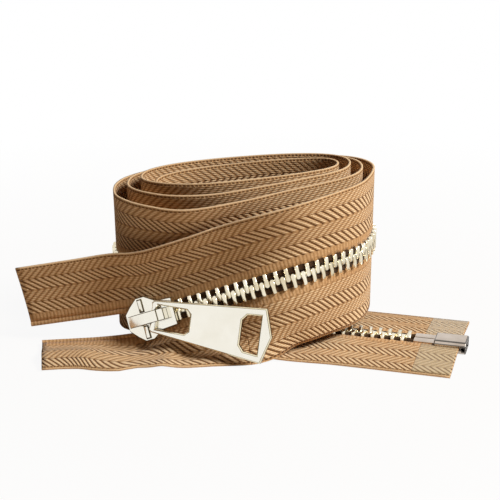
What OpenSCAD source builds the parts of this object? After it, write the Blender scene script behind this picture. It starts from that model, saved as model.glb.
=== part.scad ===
// Separating metal zipper, zipped shut and wound into an oval coil that stands on its edge.
// Millimetres. Z is up, the coil stands on z = 0, and +X runs along the coil's long side to the box end.

/* [Tape] */
// From the middle of the chain to the outer edge of either tape
half_w = 17.5; // [16.5:0.5:18.5]
// Thickness of the woven tape
tape_t = 0.5; // [0.4:0.05:0.6]
// Bead cord along the inner edge of each tape, across its flats
cord_d = 1.3; // [1.1:0.1:1.5]
// Length of tape covered by the stiffening film at the box end
film_len = 10.5; // [8:0.5:14]
// Thickness of that film
film_t = 0.15; // [0.1:0.05:0.25]

/* [Teeth] */
// Distance from one tooth to the next on one tape
pitch = 2.4; // [2.2:0.1:2.8]
// Length of a tooth along the chain
tooth_len = 0.88; // [0.8:0.02:0.9]
// Thickness of the chain through the teeth
chain_t = 2.4; // [2.2:0.1:2.6]
// Reach of a tooth's jaws from the middle of the chain
jaw_reach = 2.5; // [2.3:0.05:2.7]
// Reach of a tooth's head past the middle of the chain
head_reach = 0.85; // [0.6:0.05:0.95]

/* [Slider] */
// Length of the slider body
slider_len = 12.4; // [11.5:0.1:13.5]
// Widest part of the slider body
slider_w = 10.4; // [10:0.1:12]
// Thickness of each slider plate
plate_t = 1.1; // [0.9:0.1:1.3]
// Gap between the teeth and the slider's walls
slider_gap = 0.15; // [0.1:0.01:0.2]
// Width of the crown that holds the pull tab
crown_w = 2.8; // [2.4:0.1:3]
// Height of the crown above the top plate
crown_h = 3.2; // [3:0.1:3.6]

/* [Pull tab] */
// From the hinge bar to the tip
tab_len = 29.4; // [28:0.2:31]
// Width at the free end
tab_w = 12.8; // [11:0.2:14]
// Thickness of the sheet
tab_t = 1.2; // [1:0.1:1.3]
// Width of the raised border along its long edges
tab_border = 1.1; // [0.8:0.1:1.4]
// Depth of the flat panel inside that border
panel_sink = 0.15; // [0.1:0.05:0.25]
// Diameter of the hinge bar under the crown
bar_d = 1.5; // [1.3:0.05:1.6]
// Swing away from the line of the chain, as it was laid down
tab_yaw = 24.2; // [23:0.2:24.6]

/* [Box end] */
// Length of the box
box_len = 7.6; // [7:0.1:9]
// Width of the box across both pins
box_w = 6.6; // [6.4:0.1:8]
// Thickness of the box
box_t = 3; // [2.8:0.1:3.2]
// How far the box reaches past the cut end of the tapes
box_past = 1.6; // [1:0.1:2]
// Length of each pin, box included
pin_len = 12.6; // [11:0.2:15]

/* [Coil] */
// Half of the outer turn's length at the chain
coil_a = 30.6; // [30:0.2:32]
// Half of the outer turn's depth at the chain
coil_b = 16.7; // [16.4:0.1:17.6]
// Rise of the coil from left to right, where it rests on the flat end
coil_tilt = 0.08; // [0.075:0.005:0.1]

/* [Hidden] */
$fn = 48;

// The middle of the footprint, moved to the origin
centre = [-0.1487, 11.4973, 0];

// Tape section: flat beside the chain, then two strips that can each lean by their own angle
near_w = 5.5;
strip_w = (half_w - near_w) / 2;
cord_in = 1.0;
cord_mid = cord_in + cord_d / 2;
tape_in = cord_in + cord_d + 0.02;
ring_step = 3.6;
tape_reach = 5;

// Route rows hold x, y, z of the chain and the lean of five strips in degrees from upright:
// chain, upper middle, upper outer, lower middle, lower outer. Positive leans the top outwards.
turn_rise = 1.1;
tall = half_w / 17.5;
flat_z = box_t / 2;
tail = [
  [51.5, 0.4, flat_z, -90, -95, -95, -85, -85],
  [42, 3.2, flat_z, -90, -95, -95, -85, -85],
  [31, 6.4, flat_z, -90, -95, -95, -85, -85],
  [22, 8.9, flat_z, -90, -95, -95, -85, -85],
  [15, 10.3, flat_z + 0.1, -87, -96, -97, -86, -86],
  [10, 11.2, flat_z + 0.5, -78, -99, -98, -88, -90],
  [6, 12.3, 3.1, -66, -80, -30, -89, -91],
  [2, 13.8, 5.4 * tall, -48, -56, 0, -80, -90],
  [-3, 15.4, 9.6 * tall, -24, -30, -4, 0, -95],
  [-8, 16.4, 13.2 * tall, -10, -14, -8, 14, -66],
  [-14, 16.6, 16.4 * tall, -4, -5, -5, 4, -12],
  [-18.6, 17.0, 17.7 * tall, -2, -2, -2, 2, -2],
  [-21.6, 19.2, 18.2 * tall, 0, 0, 0, 0, 0],
  [-22.4, 22.2, 18.5 * tall, 0, 0, 0, 0, 0],
  [-20.6, 25.6, 18.9 * tall, 0, 0, 0, 0, 0]
];
strip = [
  [27.8, 11.2, 22.2 * tall, 0, 0, 0, 0, 0],
  [24.2, 5.6, 22.0 * tall, 0, 3, 3, 0, 0],
  [18.6, 1.0, 21.5 * tall, -3, 6, 8, 2, 4],
  [12, -2.4, 20.4 * tall, -8, 9, 15, 6, 10]
];

// The straight run that the slider travels on, from its far end to the slider
run_lean = -16;
run_far = [4, -3.4, 18.2 * tall];
slider_at = [-22.6, 3.1, 7.8 * tall];
run_dir = unit(slider_at - run_far);
run_up = leaning(run_dir, run_lean);
run_out = cross(run_up, run_dir);
function on_run(d) = run_far + run_dir * d;
function past_slider(d, w) = slider_at + run_dir * d + run_up * w;
run = [
  concat(run_far, [run_lean, 12, 20, 10, 14]),
  concat(on_run(8), [run_lean, 15, 24, 2, -34]),
  concat(on_run(16), [run_lean, 17, 26, -6, -74]),
  concat(on_run(24), [run_lean, 17, 26, -38, -92]),
  concat(past_slider(-2.5, 0), [run_lean, 16, 24, -60, -92])
];
upper_end = [
  concat(past_slider(1.5, 0.4), [run_lean, 16, 23, 0, 0]),
  concat(past_slider(4.6, 1.1), [run_lean, 16, 22, 0, 0]),
  concat(past_slider(7.5, 1.6), [-13, 15, 21, 0, 0]),
  [-36, 6.8, 5.1, -5, 13, 19, 0, 0],
  [-44, 7.6, 3.7, 1, 12, 17, 0, 0],
  [-52.6, 7.9, 2.4, 6, 12, 16, 0, 0]
];
lower_end = [
  concat(past_slider(1.5, -0.4), [run_lean, 0, 0, -72, -92]),
  concat(past_slider(4.6, -1.1), [-20, 0, 0, -91, -90]),
  concat(past_slider(7.5, -1.6), [-50, 0, 0, -98, -82]),
  [-36, 5.9, 1.6, -80, 0, 0, -106, -72],
  [-43, 6.1, 0.9, -88, 0, 0, -106, -72],
  [-50, 5.2, 0.8, -90, 0, 0, -104, -74]
];

function unit(v) = v / norm(v);
function xyz(p) = [p[0], p[1], p[2]];
// Width direction and face direction of a strip that leans, for a route that runs along t
function upright(t) = unit([0, 0, 1] - t * t[2]);
function leaning(t, lean) = upright(t) * cos(lean) + cross(upright(t), t) * sin(lean);
function facing(t, lean) = cross(upright(t), t) * cos(lean) - upright(t) * sin(lean);

// The coil: turns counted inwards from the left end of the second layer
turn_in = 2.86;
turn_out = -0.5;
coil_steps = 62;
function round_corner(v) = sign(v) * pow(abs(v), 0.85);
function climb(n) = n < 2.2 ? turn_rise * max(n, 0) : turn_rise * 2.2 - (n - 2.2) * 2.6;
function limit(v, low, high) = max(low, min(high, v));
function spiral(n) =
  let (
    a = 180 + 360 * n,
    x = -2.2 + 0.2 * n + (coil_a - 3.1 * n) * round_corner(cos(a)),
    y = 20.3 + 0.05 * n + (coil_b - 2.85 * n) * round_corner(sin(a)),
    z = half_w + max(0, coil_tilt * (x + 33)) + climb(n),
    front = pow(max(0, -sin(a)), 2),
    lean = 26 * front * limit((16 - x) / 26, 0, 1) * limit(1 - n / 3.4, 0, 1)
  ) [x, y, z, lean, lean, lean, lean, lean];
coil = [for (i = [0:coil_steps]) spiral(turn_in + (turn_out - turn_in) * i / coil_steps)];

// A smooth curve through the rows, then tables of each column against the length from the box end
function between(a, b, c, d, t) =
  0.5 * (2 * b + (c - a) * t + (2 * a - 5 * b + 4 * c - d) * t * t + (3 * b - a - 3 * c + d) * t * t * t);
function row(p, i) = i < 0 ? 2 * p[0] - p[1] : i >= len(p) ? 2 * p[len(p) - 1] - p[len(p) - 2] : p[i];
function smooth(p) = concat(
  [for (i = [0:len(p) - 2], j = [0:7]) between(row(p, i - 1), row(p, i), row(p, i + 1), row(p, i + 2), j / 8)],
  [p[len(p) - 1]]);
function running(p) = [for (s = 0, i = 0; i < len(p);
  s = s + (i + 1 < len(p) ? norm(xyz(p[i + 1]) - xyz(p[i])) : 0), i = i + 1) s];
function tables(p) = let (s = running(p)) [for (k = [0:7]) [for (i = [0:len(p) - 1]) [s[i], p[i][k]]]];
upper_route = tables(smooth(concat(tail, coil, strip, run, upper_end)));
lower_route = tables(smooth(concat(tail, coil, strip, run, lower_end)));
function last(list) = list[len(list) - 1];
function length_of(route) = last(route[0])[0];
function at(route, s) = [lookup(s, route[0]), lookup(s, route[1]), lookup(s, route[2])];
// Frame at a length: place, direction over a reach each way, and the five leans
function frame(route, s, reach = 0.6) = [
  at(route, s),
  unit(at(route, s + reach) - at(route, s - reach)),
  [for (k = [3:7]) lookup(s, route[k])]
];
shared = tables(smooth(concat(tail, coil, strip, run)));
slider_s = length_of(shared) + 2.5;

// A point of the tape's section: w from the chain, off from the tape's middle face, side 1 upper or -1 lower
function section(f, w, off, side) =
  let (
    t = f[1],
    mid = side > 0 ? f[2][1] : f[2][3],
    outer = side > 0 ? f[2][2] : f[2][4],
    lean = w < near_w - 0.01 ? f[2][0]
      : w < near_w + 0.01 ? (f[2][0] + mid) / 2
      : w < near_w + strip_w - 0.01 ? mid
      : w < near_w + strip_w + 0.01 ? (mid + outer) / 2
      : outer
  ) f[0] + side * (
    leaning(t, f[2][0]) * min(w, near_w)
    + leaning(t, mid) * limit(w - near_w, 0, strip_w)
    + leaning(t, outer) * max(w - near_w - strip_w, 0)
  ) + facing(t, lean) * off;

// A band between two widths and two faces, swept through the frames
module band(route, side, s0, s1, steps, w0, w1, off0, off1) {
  widths = [w0, near_w, near_w + strip_w, w1];
  rings = [for (i = [0:steps]) let (f = frame(route, s0 + (s1 - s0) * i / steps, tape_reach)) concat(
    [for (w = widths) section(f, w, off0, side)],
    [for (k = [3:-1:0]) section(f, widths[k], off1, side)])];
  sweep(rings, 8, side);
}

// A closed skin over rings of n points each, with caps cut into quads across the ring
module sweep(rings, n, side) {
  m = len(rings);
  skin = [for (i = [0:m - 2], k = [0:n - 1]) each
    let (a = i * n + k, b = i * n + (k + 1) % n) [[a, b, b + n], [a, b + n, a + n]]];
  cap = [for (k = [0:n / 2 - 2]) [k, n - 1 - k, n - 2 - k, k + 1]];
  end = [for (c = cap) [for (k = [3:-1:0]) c[k] + (m - 1) * n]];
  faces = concat(skin, cap, end);
  points = [for (r = rings, p = r) p - centre];
  polyhedron(points, side > 0 ? faces : [for (f = faces) [for (k = [len(f) - 1:-1:0]) f[k]]]);
}

// The cord has six sides, so its jaws grip flats
module cord(route, side, s0, s1) {
  steps = ceil((s1 - s0) / ring_step);
  half = cord_d / 2;
  around = [[-half, 0.35], [0, 0.7], [half, 0.35], [half, -0.35], [0, -0.7], [-half, -0.35]];
  rings = [for (i = [0:steps]) let (f = frame(route, s0 + (s1 - s0) * i / steps))
    [for (p = around) f[0] + side * leaning(f[1], f[2][0]) * (cord_mid + p[0]) + facing(f[1], f[2][0]) * p[1]]];
  sweep(rings, 6, side);
}

// Puts children on the chain: x back along the route, y towards the tape of that side, z out of the face
module on_chain(route, s, side) {
  f = frame(route, s);
  x = -f[1];
  y = leaning(f[1], f[2][0]);
  z = facing(f[1], f[2][0]);
  p = f[0] - centre;
  multmatrix([[x[0], y[0], z[0], p[0]], [x[1], y[1], z[1], p[1]], [x[2], y[2], z[2], p[2]], [0, 0, 0, 1]])
    mirror([0, side > 0 ? 0 : 1, 0]) children();
}

// Cut across the chain: a blunt head, and two jaws closed on the cord and the tape
module tooth() {
  half = chain_t / 2;
  grip = tape_t / 2 + 0.02;
  translate([tooth_len / 2, 0, 0]) rotate([0, -90, 0]) linear_extrude(tooth_len) polygon([
    [-half + 0.65, -head_reach], [-half, -head_reach + 0.55], [-half, jaw_reach], [-grip, jaw_reach],
    [-0.72, cord_in], [0.72, cord_in], [grip, jaw_reach], [half, jaw_reach],
    [half, -head_reach + 0.55], [half - 0.65, -head_reach]
  ]);
}

first_tooth = pin_len + 1.4;
travel = 22;
run_start = slider_s - travel - slider_len / 2;
tooth_count = floor((slider_s + 1.6 - first_tooth) / pitch - 0.5);
run_first = floor((run_start - tooth_len - first_tooth) / pitch + 0.5);
module teeth(route, side, from, to) {
  shift = side > 0 ? 0 : 0.5;
  for (i = [from:to]) on_chain(route, first_tooth + (i + shift) * pitch, side) tooth();
}
module upper_teeth() { color("silver") teeth(upper_route, 1, 0, run_first - 1); }
module lower_teeth() { color("silver") teeth(lower_route, -1, 0, run_first - 1); }
module upper_run_teeth() { color("silver") teeth(upper_route, 1, run_first, tooth_count); }
module lower_run_teeth() { color("silver") teeth(lower_route, -1, run_first, tooth_count); }

module tape(route, side) {
  steps = ceil(length_of(route) / ring_step);
  band(route, side, box_past, length_of(route), steps, tape_in, half_w, tape_t / 2, -tape_t / 2);
}
module upper_tape() { color("peru") tape(upper_route, 1); }
module lower_tape() { color("peru") tape(lower_route, -1); }
module upper_cord() { color("tan") cord(upper_route, 1, box_past, length_of(upper_route)); }
module lower_cord() { color("tan") cord(lower_route, -1, box_past, length_of(lower_route)); }

module film(route, side, face) {
  band(route, side, box_past + 0.2, film_len, 3, jaw_reach + 0.3, half_w - 0.3,
    face * (tape_t / 2 + (face > 0 ? film_t : 0)), face * (tape_t / 2 + (face > 0 ? 0 : film_t)));
}
module upper_film_front() { color("darkkhaki") film(upper_route, 1, 1); }
module upper_film_back() { color("darkkhaki") film(upper_route, 1, -1); }
module lower_film_front() { color("darkkhaki") film(lower_route, -1, 1); }
module lower_film_back() { color("darkkhaki") film(lower_route, -1, -1); }

// A clip closed over the cord just past the last tooth, inside the slider's mouth
module top_stop() {
  translate([0.8, 0, 0]) rotate([0, -90, 0]) linear_extrude(1.6) polygon([
    [-0.75, cord_in - 0.4], [-1.05, cord_in - 0.1], [-1.05, jaw_reach - 0.2], [1.05, jaw_reach - 0.2],
    [1.05, cord_in - 0.1], [0.75, cord_in - 0.4]
  ]);
}
stop_s = slider_s + 3.8;
module upper_top_stop() { color("silver") on_chain(upper_route, stop_s, 1) top_stop(); }
module lower_top_stop() { color("silver") on_chain(lower_route, stop_s, -1) top_stop(); }

// Pins and box, seen from the tape's end at x = 0 towards the chain at -x
pin_from = 0.8;
pin_in = 0.3;
pin_t = 1.7;
module pin() {
  width = jaw_reach - 0.1 - pin_in;
  translate([-pin_len, pin_in, -pin_t / 2]) cube([pin_len - pin_from, width, pin_t]);
}
module insertion_pin() { color("gainsboro") on_chain(upper_route, 0, 1) pin(); }
module retainer_pin() { color("gainsboro") on_chain(lower_route, 0, -1) pin(); }
// The bore is tight on the retainer pin and free on the insertion pin
module retainer_box() {
  slot = tape_t + 2 * film_t + 0.1;
  bore_t = pin_t + 0.1;
  color("gainsboro") on_chain(upper_route, 0, 1) difference() {
    translate([-box_len, 0, 0]) rotate([90, 0, 90]) linear_extrude(box_len) polygon([
      [-box_w / 2, -box_t / 2 + 0.8], [-box_w / 2 + 0.8, -box_t / 2], [box_w / 2 - 0.8, -box_t / 2],
      [box_w / 2, -box_t / 2 + 0.8], [box_w / 2, box_t / 2 - 0.8], [box_w / 2 - 0.8, box_t / 2],
      [-box_w / 2 + 0.8, box_t / 2], [-box_w / 2, box_t / 2 - 0.8]
    ]);
    translate([-box_len - 1, -jaw_reach + 0.15, -bore_t / 2])
      cube([box_len + 2, 2 * jaw_reach - 0.15, bore_t]);
    translate([-box_len - 1, -box_w, -slot / 2]) cube([box_len + 1.3 - box_past, 2 * box_w, slot]);
  }
}

// Slider, seen with its tail at +x, its nose at -x, and its face at +z
half_l = slider_len / 2;
half_s = slider_w / 2;
channel_t = chain_t / 2 + slider_gap;
channel_w = jaw_reach + slider_gap;
mouth_w = half_s - 0.75;
plate_top = channel_t + plate_t;
tape_slot = tape_t / 2 + 0.2;
outline = [[-half_l, 2], [-half_l + 1.6, 3.6], [-half_l + 3.6, half_s], [-0.4, half_s], [2.2, channel_w + 0.9],
  [half_l, channel_w + 0.6]];
function both_sides(p) = concat(p, [for (i = [len(p) - 1:-1:0]) [p[i][0], -p[i][1]]]);
module on_slider() {
  x = -run_dir;
  y = run_up;
  z = run_out;
  f = slider_at - centre;
  multmatrix([[x[0], y[0], z[0], f[0]], [x[1], y[1], z[1], f[1]], [x[2], y[2], z[2], f[2]], [0, 0, 0, 1]]) children();
}
pawl_x = -0.9;
pawl_s = 0.6;
module plate() {
  linear_extrude(plate_t) polygon(both_sides(outline));
}
// Side walls that leave a slot for the tape
module flange() {
  linear_extrude(channel_t - tape_slot + 0.01) polygon([[-1.8, mouth_w], [-1.8, half_s], [-0.4, half_s],
    [2.2, channel_w + 0.9], [half_l, channel_w + 0.6], [half_l, channel_w], [2.2, channel_w + 0.15], [-0.4, mouth_w]]);
}
module slider_body() {
  color("wheat") on_slider() difference() {
    union() {
      translate([0, 0, channel_t]) plate();
      translate([0, 0, -plate_top]) plate();
      for (m = [0, 1]) mirror([0, m, 0]) {
        translate([0, 0, tape_slot]) flange();
        translate([0, 0, -channel_t - 0.01]) flange();
      }
      translate([0, 0, -channel_t - 0.1]) linear_extrude(2 * channel_t + 0.2) polygon([[-half_l + 0.4, -1],
        [-half_l + 2, -1.1], [-half_l + 3.9, 0], [-half_l + 2, 1.1], [-half_l + 0.4, 1]]);
      for (m = [0, 1]) mirror([0, m, 0]) translate([-half_l + 3.9, crown_w / 2 + 0.35, plate_top - 0.05])
        cube([1.1, half_s - crown_w / 2 - 0.9, 0.4]);
    }
    translate([pawl_x - pawl_s / 2 - 0.15, -0.75, channel_t - 1]) cube([pawl_s + 0.3, 1.5, plate_t + 2]);
  }
}

// A bent band over the top plate, open in the middle for the hinge bar
crown_top = plate_top + crown_h;
module slider_crown() {
  color("wheat") on_slider() translate([0, crown_w / 2, 0]) rotate([90, 0, 0]) linear_extrude(crown_w) polygon([
    [-half_l + 0.6, plate_top], [-half_l + 0.6, plate_top + 0.6], [-3.2, crown_top - 1.1], [0.4, crown_top],
    [3.0, crown_top], [4.4, crown_top - 0.9], [4.4, plate_top], [3.6, plate_top], [3.6, crown_top - 1.2],
    [2.8, crown_top - 0.85], [0.6, crown_top - 0.85], [-3.0, plate_top + 1.1], [-3.0, plate_top]
  ]);
}

// A leaf under the crown with a prong that drops through the top plate towards the teeth
module lock_pawl() {
  color("silver") on_slider() {
    translate([-2.7, -0.6, plate_top + 0.2]) cube([2.2, 1.2, 0.3]);
    translate([pawl_x - pawl_s / 2, -0.6, chain_t / 2 + 0.07]) cube([pawl_s, 1.2, plate_top + 0.3 - chain_t / 2 - 0.07]);
  }
}

// Pull tab, seen from the hinge bar at the origin along +x
bar_x = 1.3;
bar_z = plate_top + 0.15 + bar_d / 2;
ring_in = 2.9;
ring_out = 3.8;
tab_from = -bar_d / 2 + 0.6;
panel_x = [10.4, tab_len - 8.8];
function panel_w(x) = ring_out + (tab_w / 2 - ring_out) * (x - tab_from) / (tab_len - 2 - tab_from) - tab_border;
module pull_tab() {
  color("wheat") on_slider() translate([bar_x, 0, bar_z]) rotate([0, 0, -tab_yaw]) {
    difference() {
      translate([0, 0, -tab_t / 2]) linear_extrude(tab_t) polygon(both_sides([[-bar_d / 2, ring_out - 0.6],
        [tab_from, ring_out], [tab_len - 2, tab_w / 2], [tab_len, 0.01]]));
      translate([0, 0, -tab_t]) linear_extrude(2 * tab_t) polygon(both_sides([[-bar_d, ring_in],
        [8.2, ring_in], [9.2, ring_in - 0.9]]));
      translate([0, 0, -tab_t]) linear_extrude(2 * tab_t) polygon(both_sides([[tab_len - 7.6, 2.9],
        [tab_len - 6.4, 4.3], [tab_len - 3, 4.6]]));
      translate([0, 0, tab_t / 2 - panel_sink]) linear_extrude(tab_t)
        polygon(both_sides([for (x = panel_x) [x, panel_w(x)]]));
    }
    rotate([90, 0, 0]) cylinder(d = bar_d, h = 2 * ring_in + 0.6, center = true);
  }
}

upper_tape();
lower_tape();
upper_cord();
lower_cord();
upper_teeth();
lower_teeth();
upper_run_teeth();
lower_run_teeth();
upper_top_stop();
lower_top_stop();
insertion_pin();
retainer_pin();
retainer_box();
upper_film_front();
upper_film_back();
lower_film_front();
lower_film_back();
slider_body();
slider_crown();
lock_pawl();
pull_tab();
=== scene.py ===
import math

import bmesh
import bpy
import numpy as np
from mathutils import Matrix, Vector


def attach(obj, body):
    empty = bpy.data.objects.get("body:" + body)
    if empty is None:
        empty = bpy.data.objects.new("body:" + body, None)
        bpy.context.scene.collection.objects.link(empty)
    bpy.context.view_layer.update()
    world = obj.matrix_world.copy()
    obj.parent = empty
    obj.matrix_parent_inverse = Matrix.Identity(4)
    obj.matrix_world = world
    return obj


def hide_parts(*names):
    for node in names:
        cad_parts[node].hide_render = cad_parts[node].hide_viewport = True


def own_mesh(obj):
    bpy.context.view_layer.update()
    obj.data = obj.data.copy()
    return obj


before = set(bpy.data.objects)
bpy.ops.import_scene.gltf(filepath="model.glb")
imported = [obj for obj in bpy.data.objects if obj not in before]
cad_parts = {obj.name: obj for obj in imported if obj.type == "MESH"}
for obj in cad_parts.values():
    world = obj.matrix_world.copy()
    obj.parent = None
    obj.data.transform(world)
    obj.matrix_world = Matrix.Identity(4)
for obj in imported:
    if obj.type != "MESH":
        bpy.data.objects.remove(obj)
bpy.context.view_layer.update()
mm = 0.001
print("frame loaded:", len(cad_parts), "nodes")

# the line of the chain, from the box end to the two loose ends, in the maker's millimetres
tapeLook = {
    "centre": (-0.1487, 11.4973, 0.0),  # middle of the footprint
    "halfWidth": 17.5,  # chain middle to outer edge
    "thickness": 0.5,
    "nearWidth": 5.5,  # stays in line with the teeth
    "rollWidth": 3.0,  # over which one strip's lean goes into the next
    "rollStep": 0.4,
    "cordFrom": 1.0,
    "cordAcross": 1.3,
    "cordThick": 1.4,
    "cordClear": 0.02,
    "startGap": 1.6,
    "curveSteps": 8,  # from one row of the route to the next
    "alongStep": 1.5,
    "acrossSteps": 16,
    "turnReach": 5.0,  # the width follows the turn over this length each way
    "smooth": 60,  # degrees, here and below: edges sharper than this stay sharp
}
coilLook = {
    "middle": (-2.2, 20.3),
    "drift": (0.2, 0.05),  # of the middle, each turn inwards
    "halfLong": 30.6,
    "halfDeep": 16.7,
    "shrink": (3.1, 2.85),  # of both halves, each turn inwards
    "roundness": 0.85,  # below 1 the oval is squarer
    "tilt": 0.08,
    "tiltFrom": -33,
    "rise": 1.1,  # each turn inwards
    "riseTurns": 2.2,
    "drop": 2.6,  # each turn after those
    "lean": 26,  # degrees, of the front wall
    "leanFrom": 16,
    "leanOver": 26,
    "leanTurns": 3.4,
    "innerTurn": 2.86,
    "outerTurn": -0.5,
    "steps": 62,
}

# rows: x, y, z of the chain, then leans from upright: chain, upper middle, upper outer, lower middle, lower outer
tailRows = [
    [51.5, 0.4, 1.5, -90, -95, -95, -85, -85],
    [42, 3.2, 1.5, -90, -95, -95, -85, -85],
    [31, 6.4, 1.5, -90, -95, -95, -85, -85],
    [22, 8.9, 1.5, -90, -95, -95, -85, -85],
    [15, 10.3, 1.6, -87, -96, -97, -86, -86],
    [10, 11.2, 2.0, -78, -99, -98, -88, -90],
    [6, 12.3, 3.1, -66, -80, -30, -89, -91],
    [2, 13.8, 5.4, -48, -56, 0, -80, -90],
    [-3, 15.4, 9.6, -24, -30, -4, 0, -95],
    [-8, 16.4, 13.2, -10, -14, -8, 14, -66],
    [-14, 16.6, 16.4, -4, -5, -5, 4, -12],
    [-18.6, 17.0, 17.7, -2, -2, -2, 2, -2],
    [-21.6, 19.2, 18.2, 0, 0, 0, 0, 0],
    [-22.4, 22.2, 18.5, 0, 0, 0, 0, 0],
    [-20.6, 25.6, 18.9, 0, 0, 0, 0, 0],
]
stripRows = [
    [27.8, 11.2, 22.2, 0, 0, 0, 0, 0],
    [24.2, 5.6, 22.0, 0, 3, 3, 0, 0],
    [18.6, 1.0, 21.5, -3, 6, 8, 2, 4],
    [12, -2.4, 20.4, -8, 9, 15, 6, 10],
]
runLook = {
    "far": (4, -3.4, 18.2),
    "slider": (-22.6, 3.1, 7.8),
    "lean": -16,
    "before": 2.5,  # the tapes' last shared point, short of the slider's middle
}


def unit(v):
    return v / np.linalg.norm(v)


def evenly(start, end, steps):
    return [start + (end - start) * i / steps for i in range(steps + 1)]


def upright(t):
    return unit(np.array([0, 0, 1.0]) - t * t[2])


def leaning(t, lean):
    a = math.radians(lean)
    return upright(t) * math.cos(a) + np.cross(upright(t), t) * math.sin(a)


def facing(t, lean):
    a = math.radians(lean)
    return np.cross(upright(t), t) * math.cos(a) - upright(t) * math.sin(a)


runFar, sliderAt = np.array(runLook["far"]), np.array(runLook["slider"])
runDir = unit(sliderAt - runFar)
runUp = leaning(runDir, runLook["lean"])


def onRun(d):
    return list(runFar + runDir * d)


def pastSlider(d, w):
    return list(sliderAt + runDir * d + runUp * w)


runLean = runLook["lean"]
runRows = [
    onRun(0) + [runLean, 12, 20, 10, 14],
    onRun(8) + [runLean, 15, 24, 2, -34],
    onRun(16) + [runLean, 17, 26, -6, -74],
    onRun(24) + [runLean, 17, 26, -38, -92],
    pastSlider(-runLook["before"], 0) + [runLean, 16, 24, -60, -92],
]
upperEndRows = [
    pastSlider(1.5, 0.4) + [runLean, 16, 23, 0, 0],
    pastSlider(4.6, 1.1) + [runLean, 16, 22, 0, 0],
    pastSlider(7.5, 1.6) + [-13, 15, 21, 0, 0],
    [-36, 6.8, 5.1, -5, 13, 19, 0, 0],
    [-44, 7.6, 3.7, 1, 12, 17, 0, 0],
    [-52.6, 7.9, 2.4, 6, 12, 16, 0, 0],
]
lowerEndRows = [
    pastSlider(1.5, -0.4) + [runLean, 0, 0, -72, -92],
    pastSlider(4.6, -1.1) + [-20, 0, 0, -91, -90],
    pastSlider(7.5, -1.6) + [-50, 0, 0, -98, -82],
    [-36, 5.9, 1.6, -80, 0, 0, -106, -72],
    [-43, 6.1, 0.9, -88, 0, 0, -106, -72],
    [-50, 5.2, 0.8, -90, 0, 0, -104, -74],
]


# one point of the coil, n turns in from the outer one
def coilRow(n):
    c = coilLook
    a = math.radians(180 + 360 * n)
    rounded = lambda v: math.copysign(abs(v) ** c["roundness"], v)
    x = c["middle"][0] + c["drift"][0] * n + (c["halfLong"] - c["shrink"][0] * n) * rounded(math.cos(a))
    y = c["middle"][1] + c["drift"][1] * n + (c["halfDeep"] - c["shrink"][1] * n) * rounded(math.sin(a))
    climb = c["rise"] * max(n, 0)
    if n >= c["riseTurns"]:
        climb = c["rise"] * c["riseTurns"] - (n - c["riseTurns"]) * c["drop"]
    z = tapeLook["halfWidth"] + max(0, c["tilt"] * (x - c["tiltFrom"])) + climb
    front = max(0, -math.sin(a)) ** 2
    toLeft = min(1, max(0, (c["leanFrom"] - x) / c["leanOver"]))
    lean = c["lean"] * front * toLeft * min(1, max(0, 1 - n / c["leanTurns"]))
    return [x, y, z] + [lean] * 5


def smoothRoute(rows):
    p = np.array(rows, float)
    p = np.vstack([2 * p[0] - p[1], p, 2 * p[-1] - p[-2]])
    steps = tapeLook["curveSteps"]
    out = []
    for i in range(len(p) - 3):
        a, b, c, d = p[i : i + 4]
        for t in np.arange(steps) / steps:
            bend = (2 * a - 5 * b + 4 * c - d) * t**2 + (3 * b - a - 3 * c + d) * t**3
            out.append(0.5 * (2 * b + (c - a) * t + bend))
    out.append(p[-2])
    out = np.array(out)
    lengths = np.linalg.norm(np.diff(out[:, :3], axis=0), axis=1)
    return np.concatenate([[0], np.cumsum(lengths)]), out


coilRows = [coilRow(n) for n in evenly(coilLook["innerTurn"], coilLook["outerTurn"], coilLook["steps"])]
sharedRows = tailRows + coilRows + stripRows + runRows
upperRoute = smoothRoute(sharedRows + upperEndRows)
lowerRoute = smoothRoute(sharedRows + lowerEndRows)
tapeSides = (("upper", upperRoute, 1), ("lower", lowerRoute, -1))
sliderLength = smoothRoute(sharedRows)[0][-1] + runLook["before"]
print("tape length, mm:", round(upperRoute[0][-1]))


def alongRoute(route, s, column):
    return np.interp(s, route[0], route[1][:, column])


def placeAt(route, s, reach=0.6):
    at = lambda k: np.array([alongRoute(route, k, i) for i in range(3)])
    leans = [alongRoute(route, s, 3 + i) for i in range(5)]
    return at(s) - np.array(tapeLook["centre"]), unit(at(s + reach) - at(s - reach)), leans


def sideLeans(leans, side):
    return (leans[0], leans[1], leans[2]) if side > 0 else (leans[0], leans[3], leans[4])


# lean at a distance w from the chain: the cloth rolls from one strip into the next
def leanAt(w, near, mid, outer):
    stripWidth = (tapeLook["halfWidth"] - tapeLook["nearWidth"]) / 2
    roll = lambda at: min(1, max(0, (w - at) / tapeLook["rollWidth"] + 0.5))
    ease = lambda k: k * k * (3 - 2 * k)
    a = near + (mid - near) * ease(roll(tapeLook["nearWidth"]))
    return a + (outer - mid) * ease(roll(tapeLook["nearWidth"] + stripWidth))


def acrossTape(place, side, widths, offset):
    p, t, leans = place
    strips = sideLeans(leans, side)
    points, here, w0 = [], p.copy(), 0.0
    for w in widths:
        parts = max(1, int((w - w0) / tapeLook["rollStep"]))
        step = (w - w0) / parts
        for k in range(parts):
            here = here + side * leaning(t, leanAt(w0 + step * (k + 0.5), *strips)) * step
        w0 = w
        points.append(here + facing(t, leanAt(w, *strips)) * offset)
    return points


def newPiece(name, bm, body, replaced=()):
    mesh = bpy.data.meshes.new(name)
    bm.to_mesh(mesh)
    bm.free()
    piece = bpy.data.objects.new(name, mesh)
    bpy.context.scene.collection.objects.link(piece)
    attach(piece, body)
    if replaced:
        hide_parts(*replaced)
    return piece


def shadeSmooth(mesh, degrees):
    for face in mesh.polygons:
        face.use_smooth = True
    mesh.set_sharp_from_angle(angle=math.radians(degrees))


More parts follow.
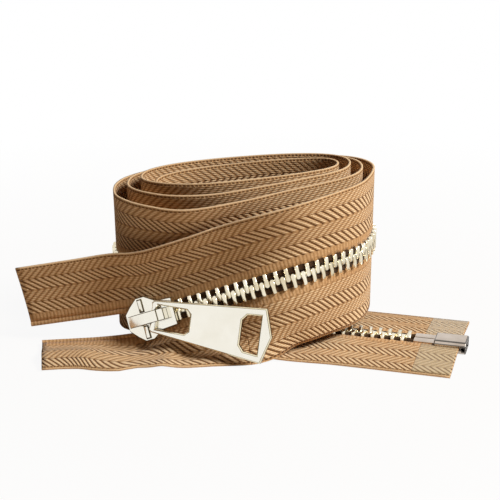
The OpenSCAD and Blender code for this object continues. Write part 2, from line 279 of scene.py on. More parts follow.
# which step along and across each corner of a new grid of size 0.5 stands on
def gridCells(bm, alongSteps, acrossSteps):
    bm.verts.index_update()
    return {v.index: (round((v.co.x + 0.5) * alongSteps), round((v.co.y + 0.5) * acrossSteps)) for v in bm.verts}


# a grid laid along the route: u is the length, below 0 on the lower tape, and v the distance from the chain,
# both in tape half-widths
def layCloth(route, side, lengths, widths, offset=0.0):
    alongSteps, acrossSteps = len(lengths) - 1, len(widths) - 1
    bm = bmesh.new()
    bmesh.ops.create_grid(bm, x_segments=alongSteps, y_segments=acrossSteps, size=0.5)
    weave = bm.loops.layers.uv.new("weave")
    rings = [acrossTape(placeAt(route, s, tapeLook["turnReach"]), side, widths, offset) for s in lengths]
    cells = gridCells(bm, alongSteps, acrossSteps)
    for face in bm.faces:
        for loop in face.loops:
            i, k = cells[loop.vert.index]
            loop[weave].uv = (side * lengths[i] / tapeLook["halfWidth"], widths[k] / tapeLook["halfWidth"])
    for v in bm.verts:
        i, k = cells[v.index]
        v.co = Vector(rings[i][k]) * mm
    bmesh.ops.recalc_face_normals(bm, faces=bm.faces)
    return bm


def giveThickness(piece, thickness):
    solid = piece.modifiers.new("thickness", "SOLIDIFY")
    solid.thickness = thickness * mm
    solid.offset = 0
    solid.use_even_offset = True
    return solid


# small helpers for node trees
def newMaterial(name):
    material = bpy.data.materials.new(name)
    material.use_nodes = True
    tree = material.node_tree
    return material, tree, tree.nodes["Principled BSDF"]


def addNode(tree, kind, at, **settings):
    node = tree.nodes.new(kind)
    node.location = at
    for key, value in settings.items():
        setattr(node, key, value)
    return node


def addMath(tree, operation, at, a, b=None, clamp=False):
    node = addNode(tree, "ShaderNodeMath", at, operation=operation, use_clamp=clamp)
    for socket, value in zip(node.inputs, (a, b)):
        if value is None:
            continue
        if isinstance(value, (int, float)):
            socket.default_value = value
        else:
            tree.links.new(value, socket)
    return node.outputs[0]


def addRamp(tree, at, factor, stops):
    node = addNode(tree, "ShaderNodeValToRGB", at)
    while len(node.color_ramp.elements) < len(stops):
        node.color_ramp.elements.new(0.5)
    for element, (place, colour) in zip(node.color_ramp.elements, stops):
        element.position = place
        element.color = colour + (1,)
    tree.links.new(factor, node.inputs[0])
    return node.outputs[0]


def addNoise(tree, at, scale, detail, vector):
    node = addNode(tree, "ShaderNodeTexNoise", at)
    node.inputs["Scale"].default_value = scale
    node.inputs["Detail"].default_value = detail
    tree.links.new(vector, node.inputs["Vector"])
    return node.outputs["Fac"]


def addBump(tree, shader, height, strength, distance):
    bump = addNode(tree, "ShaderNodeBump", (-250, -400))
    bump.inputs["Strength"].default_value = strength
    bump.inputs["Distance"].default_value = distance
    tree.links.new(height, bump.inputs["Height"])
    tree.links.new(bump.outputs["Normal"], shader.inputs["Normal"])


def linear(r, g, b):
    curve = lambda v: v / 12.92 if v <= 0.04045 else ((v + 0.055) / 1.055) ** 2.4
    return tuple(curve(v / 255) for v in (r, g, b))


# herringbone twill: slanted yarns that turn back at each band, plain by the teeth, a dotted selvage with a pale rim
# that is a painted highlight; the height also sets the colour, so the hollows carry painted shade and the raised yarns
# painted light
# a pair is the share of a height that is kept and what is added to it, places are mm from the chain
weaveLook = {
    "firstTurn": 1.0,
    # every other band is painted fainter, as its yarns slant away from the light
    "flat": (0.42, 0.39),  # every other band
    "sunk": (0.4, 0.6),  # where the yarns turn back
    "sunkSlope": 4.0,
    "floats": (0.5, 0.68),
    "floatRate": 6.3,
    "plain": (0.2, 0.5),
    "plainRate": 3.6,
    "plainTo": 4.4,
    "plainSlope": 3.0,
    "selvage": 0.62,
    "selvageFrom": 16.7,
    "selvageSlope": 6.0,
    "dots": 0.6,
    "dotsAt": 17.0,
    "dotsSlope": 3.2,
    "dotRate": 3.5,
    # a pale height along the outer rim: painted highlight where the edge catches the light
    "rim": 0.82,
    "rimHighlightFrom": 17.3,
    "rimHighlightSlope": 8.0,
}


def makeWeaveGroup():
    look = weaveLook
    group = bpy.data.node_groups.new("herringboneTwill", "ShaderNodeTree")
    for name in ("Along", "Across", "Band", "Pitch", "Slant"):
        group.interface.new_socket(name, in_out="INPUT", socket_type="NodeSocketFloat")
    for name in ("Height", "PatternAndShade"):
        group.interface.new_socket(name, in_out="OUTPUT", socket_type="NodeSocketFloat")
    given = addNode(group, "NodeGroupInput", (-1500, 0)).outputs
    result = addNode(group, "NodeGroupOutput", (900, 0)).inputs
    m = lambda op, at, a, b=None, clamp=False: addMath(group, op, at, a, b, clamp)

    def wave(value, rate, at):
        return m("ABSOLUTE", at, m("SINE", at, m("MULTIPLY", at, value, rate)))

    def lifted(value, pair, at):
        return m("ADD", at, m("MULTIPLY", at, value, pair[0]), pair[1])

    def past(start, slope, at):
        return m("MULTIPLY", at, m("SUBTRACT", at, given["Across"], start), slope, True)

    def blend(base, other, mask, at):
        rest = m("MULTIPLY", at, base, m("SUBTRACT", at, 1.0, mask))
        return m("ADD", at, rest, m("MULTIPLY", at, other, mask))

    # the bands of the lower tape, whose length runs below 0, lie one band farther out
    onLower = m("MULTIPLY", (-1200, 300), m("LESS_THAN", (-1300, 300), given["Along"], 0.0), given["Band"])
    fromTurn = m("SUBTRACT", (-1200, 200), given["Across"], look["firstTurn"])
    banded = m("SUBTRACT", (-1100, 200), fromTurn, onLower)
    turned = m("PINGPONG", (-1000, 200), banded, given["Band"])
    slanted = m("MULTIPLY", (-800, 200), turned, given["Slant"])
    phase = m("DIVIDE", (-600, 200), m("ADD", (-700, 100), given["Along"], slanted), given["Pitch"])
    yarn = wave(phase, math.pi, (-400, 200))
    # every other band has less relief, and is painted fainter as its yarns slant away from the light
    turns = m("DIVIDE", (-800, 0), banded, m("MULTIPLY", (-900, 0), given["Band"], 2.0))
    flatterFainter = m("LESS_THAN", (-600, 0), m("FRACT", (-700, 0), turns), 0.5)
    twill = blend(yarn, lifted(yarn, look["flat"], (-300, 100)), flatterFainter, (-200, 100))
    # a band is a little sunk where its yarns turn back
    edge = m("MINIMUM", (-600, -100), turned, m("SUBTRACT", (-800, -100), given["Band"], turned))
    inBand = m("MULTIPLY", (-400, -100), edge, look["sunkSlope"], True)
    twill = m("MULTIPLY", (-100, 100), twill, lifted(inBand, look["sunk"], (-250, -100)))
    # each yarn shows as a row of floats
    floats = wave(given["Across"], look["floatRate"], (-400, 300))
    twill = m("MULTIPLY", (0, 100), twill, lifted(floats, look["floats"], (-250, 300)))
    plain = lifted(wave(given["Along"], look["plainRate"], (-400, -300)), look["plain"], (-200, -300))
    toPlain = m("SUBTRACT", (-500, -450), look["plainTo"], given["Across"])
    nearChain = m("MULTIPLY", (-400, -450), toPlain, look["plainSlope"], True)
    # dark dots in one row on the selvage
    aside = m("ABSOLUTE", (-400, -750), m("SUBTRACT", (-500, -750), given["Across"], look["dotsAt"]))
    inRow = m("SUBTRACT", (-300, -750), 1.0, m("MULTIPLY", (-350, -750), aside, look["dotsSlope"]), True)
    dots = m("MULTIPLY", (-200, -650), wave(given["Along"], look["dotRate"], (-400, -600)), inRow)
    selvage = m("SUBTRACT", (-100, -650), look["selvage"], m("MULTIPLY", (-150, -650), dots, look["dots"]))
    # painted highlight along the rim
    onRimHighlight = past(look["rimHighlightFrom"], look["rimHighlightSlope"], (-400, -1000))
    selvage = blend(selvage, look["rim"], onRimHighlight, (0, -700))
    onSelvage = past(look["selvageFrom"], look["selvageSlope"], (-400, -900))
    height = blend(blend(twill, plain, nearChain, (100, 0)), selvage, onSelvage, (400, 0))
    group.links.new(height, result["Height"])
    # the same height, clamped, picks the colour: painted shade in the hollows, painted light on the raised yarns
    group.links.new(m("MAXIMUM", (600, -200), height, 0.0, True), result["PatternAndShade"])
    return group


weaveGroup = makeWeaveGroup()

clothLook = {
    "band": 3.25,  # mm across one band of twill
    "pitch": 1.65,  # mm between yarns, along the tape
    "slant": 1.1,
    "fibre": (2600, 2),  # scale and detail of the noise
    "patch": (60, 3),
    "fibreShade": 0.3,
    "patchShade": 0.24,
    "darker": 0.27,
    "stops": (0.05, 0.62, 1.0),  # of gap, yarn and lit
    "fibreRelief": 0.25,
    "depth": 0.35,
    "sheen": 0.12,
    "sheenRoughness": 0.5,
}
# in each finish the darkest colour is painted shade in the weave's hollows and lit is a painted highlight on the raised
# yarns; yarn is the cloth's own colour
tapeFinish = {
    "gap": linear(82, 45, 21),
    "yarn": linear(196, 149, 101),
    "lit": linear(250, 216, 172),
    "roughness": 0.85,
    "gloss": 0.05,
    "relief": 0.75,
}
filmFinish = {
    "gap": linear(112, 84, 54),
    "yarn": linear(184, 154, 114),
    "lit": linear(216, 190, 150),
    "roughness": 0.32,
    "gloss": 0.25,
    "relief": 0.3,
}
# near black: painted shade that the teeth cast on the cord
cordShadeFinish = {
    "gap": linear(34, 21, 12),
    "yarn": linear(66, 46, 29),
    "lit": linear(98, 72, 48),
    "roughness": 0.9,
    "gloss": 0.05,
    "relief": 0.3,
}


def makeCloth(name, finish):
    look = clothLook
    material, tree, shader = newMaterial(name)
    uv = addNode(tree, "ShaderNodeUVMap", (-1500, 0), uv_map="weave")
    split = addNode(tree, "ShaderNodeSeparateXYZ", (-1300, 0))
    tree.links.new(uv.outputs[0], split.inputs[0])
    along = addMath(tree, "MULTIPLY", (-1150, 100), split.outputs[0], tapeLook["halfWidth"])
    across = addMath(tree, "MULTIPLY", (-1150, -100), split.outputs[1], tapeLook["halfWidth"])
    place = addNode(tree, "ShaderNodeTexCoord", (-1500, -400))
    fibre = addNoise(tree, (-1150, -400), *look["fibre"], place.outputs["Object"])
    patch = addNoise(tree, (-1150, -600), *look["patch"], place.outputs["Object"])
    weave = addNode(tree, "ShaderNodeGroup", (-900, 0), node_tree=weaveGroup)
    tree.links.new(along, weave.inputs["Along"])
    tree.links.new(across, weave.inputs["Across"])
    for socket in ("Band", "Pitch", "Slant"):
        weave.inputs[socket].default_value = look[socket.lower()]
    fibreShade = addMath(tree, "MULTIPLY", (-800, -300), fibre, look["fibreShade"])
    patchShade = addMath(tree, "MULTIPLY", (-800, -500), patch, look["patchShade"])
    shade = addMath(tree, "ADD", (-650, 0), weave.outputs["PatternAndShade"], fibreShade)
    shade = addMath(tree, "ADD", (-550, 0), shade, patchShade)
    shade = addMath(tree, "SUBTRACT", (-470, 0), shade, look["darker"])
    # the ramp paints the relief into the colour: painted shade at the bottom, painted highlight at the top
    stops = list(zip(look["stops"], (finish["gap"], finish["yarn"], finish["lit"])))
    tree.links.new(addRamp(tree, (-400, 150), shade, stops), shader.inputs["Base Color"])
    shader.inputs["Roughness"].default_value = finish["roughness"]
    shader.inputs["Specular IOR Level"].default_value = finish["gloss"]
    shader.inputs["Sheen Weight"].default_value = look["sheen"]
    shader.inputs["Sheen Roughness"].default_value = look["sheenRoughness"]
    fibreHeight = addMath(tree, "MULTIPLY", (-600, -300), fibre, look["fibreRelief"])
    height = addMath(tree, "ADD", (-400, -300), weave.outputs["Height"], fibreHeight)
    addBump(tree, shader, height, finish["relief"], look["depth"] * mm)
    return material


wovenTape = makeCloth("wovenTape", tapeFinish)
coatedTape = makeCloth("coatedTape", filmFinish)
cordInShade = makeCloth("cordInShade", cordShadeFinish)

# fine scratches and a slow change of polish
metalLook = {
    "cloud": (220, 3),  # scale and detail of the noise
    "scratch": (900, 4),
    "stretch": (1, 9, 2),
    "turn": (0.3, 0.5, 0.25),
    "stops": (0.3, 0.65),  # of deep and pale
    "depth": 0.02,
}


def makePolishGroup():
    look = metalLook
    group = bpy.data.node_groups.new("handledMetal", "ShaderNodeTree")
    group.interface.new_socket("Place", in_out="INPUT", socket_type="NodeSocketVector")
    for name in ("Polish", "Spread"):
        group.interface.new_socket(name, in_out="INPUT", socket_type="NodeSocketFloat")
    for name in ("Roughness", "Wear", "Height"):
        group.interface.new_socket(name, in_out="OUTPUT", socket_type="NodeSocketFloat")
    given = addNode(group, "NodeGroupInput", (-1000, 0)).outputs
    result = addNode(group, "NodeGroupOutput", (500, 0)).inputs

    def aroundZero(noise, at):
        return addMath(group, "MULTIPLY", at, addMath(group, "SUBTRACT", at, noise, 0.5), given["Spread"])

    stretched = addNode(group, "ShaderNodeMapping", (-800, -200))
    stretched.inputs["Scale"].default_value = look["stretch"]
    stretched.inputs["Rotation"].default_value = look["turn"]
    group.links.new(given["Place"], stretched.inputs["Vector"])
    slow = addNoise(group, (-550, 100), *look["cloud"], given["Place"])
    scratch = addNoise(group, (-550, -200), *look["scratch"], stretched.outputs[0])
    uneven = addMath(group, "ADD", (-150, 0), aroundZero(scratch, (-300, -200)), aroundZero(slow, (-300, 100)))
    rough = addMath(group, "ADD", (0, 0), given["Polish"], uneven, True)
    group.links.new(rough, result["Roughness"])
    group.links.new(slow, result["Wear"])
    group.links.new(scratch, result["Height"])
    return group


polishGroup = makePolishGroup()


def makeMetal(name, pale, deep, polish, spread, relief):
    look = metalLook
    material, tree, shader = newMaterial(name)
    place = addNode(tree, "ShaderNodeTexCoord", (-1100, 0))
    worn = addNode(tree, "ShaderNodeGroup", (-800, 0), node_tree=polishGroup)
    tree.links.new(place.outputs["Object"], worn.inputs["Place"])
    worn.inputs["Polish"].default_value = polish
    worn.inputs["Spread"].default_value = spread
    colour = addRamp(tree, (-450, 150), worn.outputs["Wear"], list(zip(look["stops"], (deep, pale))))
    tree.links.new(colour, shader.inputs["Base Color"])
    tree.links.new(worn.outputs["Roughness"], shader.inputs["Roughness"])
    shader.inputs["Metallic"].default_value = 1.0
    addBump(tree, shader, worn.outputs["Height"], relief, look["depth"] * mm)
    return material


# pale and deep colour, roughness, how far that spreads, relief of the scratches
paleGold = makeMetal("paleGold", linear(245, 241, 229), linear(240, 235, 221), 0.16, 0.05, 0.03)
# goldRimReflection: a warm painted reflection for the tab's bevels
goldRimReflection = makeMetal("goldRimReflection", linear(240, 229, 198), linear(230, 217, 182), 0.2, 0.05, 0.03)
# goldEdgeShade: painted shade along the bevelled edges of the slider and the tab
goldEdgeShade = makeMetal("goldEdgeShade", linear(122, 109, 80), linear(100, 89, 63), 0.2, 0.05, 0.03)
toothMetal = makeMetal("toothMetal", linear(250, 242, 220), linear(222, 208, 176), 0.24, 0.1, 0.1)
brightSteel = makeMetal("brightSteel", linear(208, 194, 180), linear(184, 169, 154), 0.18, 0.08, 0.06)
# steelEdgeShade: painted shade along the box's rounded edges
steelEdgeShade = makeMetal("steelEdgeShade", linear(112, 106, 99), linear(92, 86, 80), 0.25, 0.05, 0.03)
print("materials made")

# opening the chain: past the parting the tapes, cords and teeth are pieces of their own, each given its own mesh
partLook = {
    "travel": 22.0,
    "diamond": 1.5,  # where the rows part, behind the slider's middle
    "upperKeep": 0.9,
    "lowerKeep": 0.82,
    "tuck": 2.2,
    "tuckShare": 0.5,  # of the thickness, inside the cloth that stays
    "tuckEdge": 0.1,
    "near": 0.3,  # close rows of the grid at the parting
}
parting = sliderLength - partLook["travel"] + partLook["diamond"]


def partWithSlider(piece, side):
    if side > 0:
        place = placeAt(upperRoute, parting, tapeLook["turnReach"])
        selvage = acrossTape(place, side, [tapeLook["halfWidth"]], 0)[0]
        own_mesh(piece)
    else:
        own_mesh(piece)


# the end that parts is tucked, thinner, inside the cloth that stays, so no gap opens between them
def thinStart(piece, solid):
    group = piece.vertex_groups.new(name="full")
    for loop, uv in zip(piece.data.loops, piece.data.uv_layers["weave"].data):
        inside = abs(uv.uv[0]) * tapeLook["halfWidth"] < parting - partLook["tuckEdge"]
        group.add([loop.vertex_index], 0.0 if inside else 1.0, "REPLACE")
    solid.vertex_group = group.name
    solid.thickness_vertex_group = partLook["tuckShare"]


# the two tapes, each in two lengths that meet at the parting
tapeFrom = tapeLook["cordFrom"] + tapeLook["cordAcross"] + tapeLook["cordClear"]
tapeWidths = evenly(tapeFrom, tapeLook["halfWidth"], tapeLook["acrossSteps"])
for tapeName, route, side in tapeSides:
    length = route[0][-1]
    near, start, step = partLook["near"], tapeLook["startGap"], tapeLook["alongStep"]
    stays = evenly(start, parting - near, int((parting - start) / step)) + [parting]
    parts = [parting - partLook["tuck"], parting - near, parting]
    parts += evenly(parting + near, length, int((length - parting) / step))
    for label, lengths in ((f"{tapeName}Tape", stays), (f"{tapeName}TapeEnd", parts)):
        bm = layCloth(route, side, lengths, tapeWidths)
        tape = newPiece(label, bm, "tapes", [f"{tapeName}_tape"])
        tape.data.materials.append(wovenTape)
        shadeSmooth(tape.data, tapeLook["smooth"])
        solid = giveThickness(tape, tapeLook["thickness"])
        if lengths is parts:
            thinStart(tape, solid)
            partWithSlider(tape, side)
print("tapes laid")

# bead cord in the inner edge of each tape: a tube rolled from a grid, painted near black between the teeth as their
# shade, in the tape's own cloth past the slider
cordLook = {
    "around": 8,
    "alongStep": 2.4,
    "from": 1.6,
    "weaveFrom": 3.0,  # mm from the chain, where the weave is nearly all plain
    "weaveOver": 1.2,
    "merge": 0.001,
    "smooth": 70,
}


def rollCord(route, side, start, end):
    look = cordLook
    around, steps = look["around"], int((end - start) / look["alongStep"])
    lengths = evenly(start, end, steps)
    bm = bmesh.new()
    bmesh.ops.create_grid(bm, x_segments=steps, y_segments=around, size=0.5)
    weave = bm.loops.layers.uv.new("weave")
    places = [placeAt(route, s) for s in lengths]
    middle = tapeLook["cordFrom"] + tapeLook["cordAcross"] / 2
    cells = gridCells(bm, steps, around)
    for face in bm.faces:
        for loop in face.loops:
            i, k = cells[loop.vert.index]
            across = look["weaveFrom"] + look["weaveOver"] * k / around
            loop[weave].uv = (lengths[i] / tapeLook["halfWidth"], across / tapeLook["halfWidth"])
        if lengths[min(cells[loop.vert.index][0] for loop in face.loops)] > sliderLength:
            face.material_index = 1
    for v in bm.verts:
        i, k = cells[v.index]
        p, t, leans = places[i]
        a = 2 * math.pi * k / around
        out = side * leaning(t, leans[0]) * (middle + math.cos(a) * tapeLook["cordAcross"] / 2)
        v.co = Vector(p + out + facing(t, leans[0]) * math.sin(a) * tapeLook["cordThick"] / 2) * mm
    bmesh.ops.remove_doubles(bm, verts=bm.verts, dist=look["merge"] * mm)
    bmesh.ops.holes_fill(bm, edges=[e for e in bm.edges if e.is_boundary], sides=around)
    bmesh.ops.recalc_face_normals(bm, faces=bm.faces)
    return bm


for tapeName, route, side in tapeSides:
    cordEnds = ((f"{tapeName}Cord", cordLook["from"], parting), (f"{tapeName}CordEnd", parting, route[0][-1]))
    for label, start, end in cordEnds:
        cord = newPiece(label, rollCord(route, side, start, end), "tapes", [f"{tapeName}_cord"])
        cord.data.materials.append(cordInShade)
        cord.data.materials.append(wovenTape)
        shadeSmooth(cord.data, cordLook["smooth"])
        if start == parting:
            partWithSlider(cord, side)
print("cords laid")

# teeth: one stamped shape, copied along the chain
toothLook = {
    "pitch": 2.4,
    "first": 14.0,  # from the box end
    "past": 1.6,  # the last stand at most this far past the slider's middle
    "half": 1.2,  # half of the chain's thickness
    "jaw": 2.5,
    "waist": 1.0,
    "cheek": 0.45,
    "head": 0.85,
    "neck": 0.45,  # half length along the chain, at the jaws
    "shoulder": 0.56,  # and at the head
    "nose": (0.22, 0.4),  # corners cut off the head
    "noseThin": 0.5,
    "bevel": 0.14,
    "smooth": 50,
}


def stampTooth():
    look = toothLook
    bm = bmesh.new()
    half, head, shoulder = look["half"], look["head"], look["shoulder"]
    profile = [
        (look["neck"], look["jaw"]),
        (look["neck"], look["waist"]),
        (shoulder, look["cheek"]),
        (shoulder, -head + look["nose"][1]),
        (shoulder - look["nose"][0], -head),
    ]
    outline = [(-x, y) for x, y in profile] + profile[::-1]
    face = bm.faces.new([bm.verts.new((x, y, -half)) for x, y in outline])
    made = bmesh.ops.extrude_face_region(bm, geom=[face])
    top = [g for g in made["geom"] if isinstance(g, bmesh.types.BMVert)]
    bmesh.ops.translate(bm, verts=top, vec=(0, 0, 2 * half))
    bmesh.ops.recalc_face_normals(bm, faces=bm.faces)
    # the head is thinner than the shoulders, so it drops into its neighbour's hollow
    for v in bm.verts:
        if v.co.y < -head + look["nose"][1] / 2:
            v.co.z *= look["noseThin"]
    rim = [e for e in bm.edges if e.calc_face_angle(0) > math.radians(look["smooth"])]
    bmesh.ops.bevel(
        bm, geom=rim, offset=look["bevel"], segments=1, profile=0.5, affect="EDGES", material=-1, clamp_overlap=True
    )
    mesh = bpy.data.meshes.new("toothStamp")
    bm.to_mesh(mesh)
    bm.free()
    return mesh


def chainMatrix(route, s, side):
    p, t, leans = placeAt(route, s)
    axes = (-t, leaning(t, leans[0]) * side, facing(t, leans[0]))
    return Matrix([[axis[i] * mm for axis in axes] + [p[i] * mm] for i in range(3)] + [[0, 0, 0, 1]])


toothStamp = stampTooth()
toothCount = int((sliderLength + toothLook["past"] - toothLook["first"]) / toothLook["pitch"] - 0.5)
for tapeName, route, side in tapeSides:
    shift = 0 if side > 0 else 0.5  # the rows stand half a pitch apart
    places = [toothLook["first"] + (i + shift) * toothLook["pitch"] for i in range(toothCount + 1)]
    for label, node, held in (
        (f"{tapeName}Teeth", f"{tapeName}_teeth", [s for s in places if s < parting]),
        (f"{tapeName}TeethEnd", f"{tapeName}_run_teeth", [s for s in places if s >= parting]),
    ):
        bm = bmesh.new()
        for s in held:
            tooth = toothStamp.copy()
            tooth.transform(chainMatrix(route, s, side))
            if side < 0:
                tooth.flip_normals()
            bm.from_mesh(tooth)
            bpy.data.meshes.remove(tooth)
        teeth = newPiece(label, bm, "tapes", [node])
        teeth.data.materials.append(toothMetal)
        shadeSmooth(teeth.data, toothLook["smooth"])
        if label.endswith("End"):
            partWithSlider(teeth, side)
bpy.data.meshes.remove(toothStamp)
print("teeth crimped:", 2 * (toothCount + 1))

# stiffening film, both faces of both tapes at the box end
filmLook = {
    "from": 1.8,
    "to": 10.5,
    "inner": 2.8,
    "outer": 17.2,
    "thickness": 0.06,
    "near": 0.1,  # close rows of the grid at both ends
    "alongSteps": 8,
    "acrossSteps": 10,
}
for tapeName, route, side in tapeSides:
    for faceName, out in (("front", 1), ("back", -1)):
        look = filmLook
        widths = evenly(look["inner"], look["outer"], look["acrossSteps"])
        between = evenly(look["from"] + look["near"], look["to"] - look["near"], look["alongSteps"])
        offset = out * (tapeLook["thickness"] + look["thickness"]) / 2
        bm = layCloth(route, side, [look["from"]] + between + [look["to"]], widths, offset)
        film = newPiece(f"{tapeName}Film{faceName.title()}", bm, "tapes", [f"{tapeName}_film_{faceName}"])
        film.data.materials.append(coatedTape)
        shadeSmooth(film.data, tapeLook["smooth"])
        giveThickness(film, look["thickness"])
print("films bonded")

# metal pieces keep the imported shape, with their edges rounded
roundLook = {"merge": 0.002, "flat": 1, "sharp": 28, "smooth": 35}  # mm, then degrees


def roundEdges(node, name, body, materials, width, segments):
    look = roundLook
    bm = bmesh.new()
    bm.from_mesh(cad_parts[node].data)
    bmesh.ops.remove_doubles(bm, verts=bm.verts, dist=look["merge"] * mm)
    bmesh.ops.dissolve_limit(bm, angle_limit=math.radians(look["flat"]), verts=bm.verts, edges=bm.edges)
    piece = newPiece(name, bm, body, [node])
    for material in materials:
        piece.data.materials.append(material)
    shadeSmooth(piece.data, look["smooth"])
    bevel = piece.modifiers.new("edges", "BEVEL")
    bevel.width = width * mm
    bevel.segments = segments
    bevel.limit_method = "ANGLE"
    bevel.angle_limit = math.radians(look["sharp"])
    bevel.material = len(materials) - 1
    bevel.use_clamp_overlap = len(materials) == 1
    bevel.harden_normals = True
    return piece


# the last two are the width of the rounding in mm and its segments
# the rounded edges take the last material listed: for the slider and the box a dark one, painted shade along their
# edges
for node, name, body, slotName, materials, width, segments in (
    ("slider_body", "sliderBody", "slider", "slider", [paleGold, goldEdgeShade], 0.16, 1),
    ("slider_crown", "sliderCrown", "slider", "slider", [paleGold, goldEdgeShade], 0.16, 1),
    ("lock_pawl", "lockPawl", "lock_pawl", "box", [brightSteel], 0.06, 2),
    ("upper_top_stop", "upperTopStop", "tapes", "teeth", [toothMetal], 0.2, 2),
    ("lower_top_stop", "lowerTopStop", "tapes", "teeth", [toothMetal], 0.2, 2),
    ("insertion_pin", "insertionPin", "tapes", "box", [brightSteel], 0.3, 3),
    ("retainer_pin", "retainerPin", "tapes", "box", [brightSteel], 0.3, 3),
    ("retainer_box", "retainerBox", "tapes", "box", [brightSteel, steelEdgeShade], 0.3, 2),
):
    piece = roundEdges(node, name, body, materials, width, segments)
    if node.endswith("top_stop"):
        partWithSlider(piece, 1 if node.startswith("upper") else -1)
print("metal pieces rounded")

# pull tab: a stamped sheet with a raised border, two arms and the hinge bar between them
tabLook = {
    "hinge": (1.3, 3.35),  # along the slider, and out from it
    "yaw": 24.2,
    "length": 29.4,
    "halfEnd": 6.4,
    "shoulder": 27.4,  # where it is widest
    "ringOut": 3.8,
    "ringIn": 2.9,
    "ringEnd": 9.2,
    "ringCut": (1, 0.9),  # corners of the opening
    "tipCut": 0.6,
    "hole": (21.8, 23.0, 26.4),
    "holeHalf": (2.9, 4.3, 4.6),
    "panel": (10.4, 20.6),
    "border": 1.1,
    "sink": 0.15,
    "step": 1.0,  # width of the slope down to the panel
    "thickness": 1.2,
    "rim": ((0.3, 0.0), (0.22, 0.06), (0.0, 0.25)),  # inset and drop from the flat, over its bevelled edge
    "bar": 1.5,
    "barInto": 0.6,  # into both arms together
    "barSides": 24,
    "smooth": 30,
}


def mirrored(points):
    return points + [(x, -y) for x, y in reversed(points)]


def insetLoop(points, inset):
    p = [np.array(k, float) for k in points]
    moved = []
    for i in range(len(p)):
        a, b = unit(p[i] - p[i - 1]), unit(p[(i + 1) % len(p)] - p[i])
        na, nb = np.array([-a[1], a[0]]), np.array([-b[1], b[0]])
        moved.append(tuple(p[i] + (na + nb) / (1 + na @ nb) * inset))
    return moved


def stampTab():
    k = tabLook
    half, start, cut = k["thickness"] / 2, -k["bar"] / 2, k["tipCut"]
    taper = (k["halfEnd"] - k["ringOut"]) / (k["shoulder"] - start - cut)
    halfAt = lambda x: k["ringOut"] + taper * (x - start - cut)
    slotLong, slotIn = k["ringEnd"] - k["ringCut"][0], k["ringIn"] - k["ringCut"][1]
    slot = [(start, k["ringIn"]), (slotLong, k["ringIn"]), (k["ringEnd"], slotIn)]
    side = [(start, k["ringOut"] - cut), (start + cut, k["ringOut"]), (k["shoulder"], k["halfEnd"])]
    outline = mirrored(slot) + [(x, -y) for x, y in side] + [(k["length"], 0)] + side[::-1]
    hole = mirrored(list(zip(k["hole"], k["holeHalf"])))[::-1]
    panel = mirrored([(x, halfAt(x) - k["border"]) for x in k["panel"]])[::-1]
    bm = bmesh.new()
    ring = lambda points, z: [bm.verts.new((x, y, z)) for x, y in points]

    def skin(a, b, materialIndex):
        for i in range(len(a)):
            j = (i + 1) % len(a)
            bm.faces.new((a[i], a[j], b[j], b[i])).material_index = materialIndex

    # painted shade on the edge and a pale painted reflection on the rim by turns, from the back round to the front
    def wall(points, sign):
        front = [ring(insetLoop(points, sign * inset), half - drop) for inset, drop in k["rim"]]
        back = [ring(insetLoop(points, sign * inset), drop - half) for inset, drop in k["rim"]]
        rings = back + front[::-1]
        for i, materialIndex in enumerate((1, 2, 1, 2, 1)):
            skin(rings[i], rings[i + 1], materialIndex)
        return back[0], front[0]

    def fill(*loops):
        edges = [bm.edges.get((loop[i - 1], loop[i])) for loop in loops for i in range(len(loop))]
        bmesh.ops.triangle_fill(bm, edges=edges, use_beauty=True)

    outerBack, outerFront = wall(outline, 1)
    holeBack, holeFront = wall(hole, -1)
    lip = ring(panel, half)
    sunk = ring(insetLoop(panel, k["step"]), half - k["sink"])
    skin(lip, sunk, 0)
    bm.faces.new(sunk)
    fill(outerFront, holeFront, lip)
    fill(outerBack, holeBack)
    bmesh.ops.create_cone(
        bm,
        cap_ends=True,
        segments=k["barSides"],
        radius1=k["bar"] / 2,
        radius2=k["bar"] / 2,
        depth=2 * k["ringIn"] + k["barInto"],
        matrix=Matrix.Rotation(math.pi / 2, 4, "X"),
    )
    bmesh.ops.recalc_face_normals(bm, faces=bm.faces)
    return bm


runOut = np.cross(runUp, runDir)
turn = math.radians(tabLook["yaw"])
hinge = sliderAt - runDir * tabLook["hinge"][0] + runOut * tabLook["hinge"][1] - np.array(tapeLook["centre"])
tabAxes = (
    -runDir * math.cos(turn) - runUp * math.sin(turn),
    -runDir * math.sin(turn) + runUp * math.cos(turn),
    runOut,
)
tabPlace = Matrix([[axis[i] * mm for axis in tabAxes] + [hinge[i] * mm] for i in range(3)] + [[0, 0, 0, 1]])
bm = stampTab()
bmesh.ops.transform(bm, matrix=tabPlace, verts=bm.verts)
tab = newPiece("pullTab", bm, "pull_tab", ["pull_tab"])
# the tab's metal, its edges' painted shade and its rim's painted reflection
for material in (paleGold, goldEdgeShade, goldRimReflection):
    tab.data.materials.append(material)
shadeSmooth(tab.data, tabLook["smooth"])
print("pull tab stamped")

# floor, light and camera
stageLook = {
    "floor": {"size": 3.0, "colour": (0.7, 0.58, 0.47, 1), "roughness": 0.9},
    "fade": {"From Min": 0.06, "From Max": 0.22, "To Min": 0.93, "To Max": 1.0},  # share of white, by m from the middle
    "ambient": 0.1,
    "fill": (1.0, 0.78, 0.6, 1),
    "white": (1, 1, 1, 1),
    "key": {"at": (0.48, -0.19, 0.54), "size": 0.26, "power": 6.6, "colour": (0.94, 0.985, 1.0), "aim": (0, 0, 0.02)},
    "camera": {"at": (0, -272.5, 116), "down": 20, "sensor": 36, "focal": 1247 / 500, "below": 35 / 500},
}


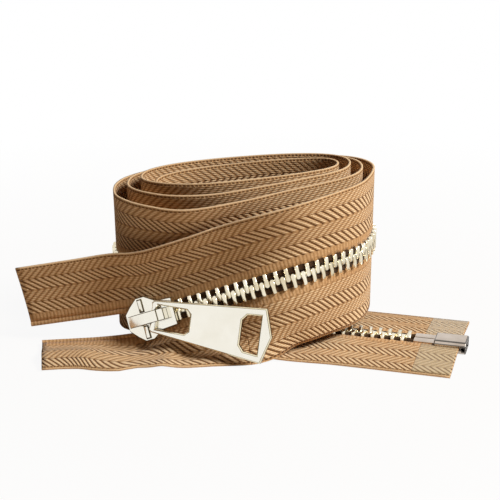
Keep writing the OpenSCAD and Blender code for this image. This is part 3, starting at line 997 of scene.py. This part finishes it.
# how far a ray sees the plain white surround: 1 for the camera, for metal and for anything clear
def seenPlainly(tree):
    path = addNode(tree, "ShaderNodeLightPath", (-600, 300))
    seen = addMath(tree, "MAXIMUM", (-400, 300), path.outputs["Is Camera Ray"], path.outputs["Is Glossy Ray"])
    return addMath(tree, "MAXIMUM", (-200, 300), seen, path.outputs["Is Transmission Ray"])


def mixShaders(tree, factor, first, second, output):
    mix = addNode(tree, "ShaderNodeMixShader", (200, 0))
    tree.links.new(factor, mix.inputs[0])
    tree.links.new(first, mix.inputs[1])
    tree.links.new(second, mix.inputs[2])
    tree.links.new(mix.outputs[0], output)


world = bpy.data.worlds.new("softStudio")
bpy.context.scene.world = world
world.use_nodes = True
worldTree = world.node_tree
dim = worldTree.nodes["Background"]
dim.inputs["Color"].default_value = stageLook["fill"]
dim.inputs["Strength"].default_value = stageLook["ambient"]
bright = addNode(worldTree, "ShaderNodeBackground", (0, -200))
bright.inputs["Color"].default_value = stageLook["white"]
bright.inputs["Strength"].default_value = 1.0
sky = worldTree.nodes["World Output"].inputs[0]
mixShaders(worldTree, seenPlainly(worldTree), dim.outputs[0], bright.outputs[0], sky)

look = stageLook["floor"]
bm = bmesh.new()
bmesh.ops.create_grid(bm, x_segments=1, y_segments=1, size=look["size"] / 2)
floorMesh = bpy.data.meshes.new("floor")
bm.to_mesh(floorMesh)
bm.free()
floor = bpy.data.objects.new("floor", floorMesh)
bpy.context.scene.collection.objects.link(floor)
paleFloor, floorTree, floorShader = newMaterial("paleFloor")
floorShader.inputs["Base Color"].default_value = look["colour"]
floorShader.inputs["Roughness"].default_value = look["roughness"]
floorShader.inputs["Specular IOR Level"].default_value = 0.0
# white like the surround, with a share of plain floor near the object that keeps its shadow
glow = addNode(floorTree, "ShaderNodeEmission", (0, -200))
glow.inputs["Strength"].default_value = 1.0
place = addNode(floorTree, "ShaderNodeTexCoord", (-900, 0))
away = addNode(floorTree, "ShaderNodeVectorMath", (-700, 0), operation="LENGTH")
floorTree.links.new(place.outputs["Object"], away.inputs[0])
fade = addNode(floorTree, "ShaderNodeMapRange", (-500, 0))
for socket, value in stageLook["fade"].items():
    fade.inputs[socket].default_value = value
floorTree.links.new(away.outputs["Value"], fade.inputs["Value"])
share = addMath(floorTree, "MULTIPLY", (0, 200), seenPlainly(floorTree), fade.outputs[0])
surface = floorTree.nodes["Material Output"].inputs["Surface"]
mixShaders(floorTree, share, floorShader.outputs[0], glow.outputs[0], surface)
floorMesh.materials.append(paleFloor)

look = stageLook["key"]
lamp = bpy.data.lights.new("key", "AREA")
lamp.shape = "DISK"
lamp.size = look["size"]
lamp.energy = look["power"]
lamp.color = look["colour"]
holder = bpy.data.objects.new("key", lamp)
holder.location = look["at"]
holder.rotation_euler = (Vector(look["aim"]) - Vector(look["at"])).to_track_quat("-Z", "Y").to_euler()
bpy.context.scene.collection.objects.link(holder)

look = stageLook["camera"]
lens = bpy.data.cameras.new("camera")
lens.sensor_width = look["sensor"]
lens.lens = look["sensor"] * look["focal"]
lens.shift_y = look["below"]
lens.clip_start, lens.clip_end = 0.01, 20
camera = bpy.data.objects.new("camera", lens)
camera.location = (Vector(look["at"]) - Vector(tapeLook["centre"])) * mm
camera.rotation_euler = (math.radians(90 - look["down"]), 0, 0)
bpy.context.scene.collection.objects.link(camera)
bpy.context.scene.camera = camera
bpy.context.scene.view_settings.view_transform = "Standard"
print("stage set")
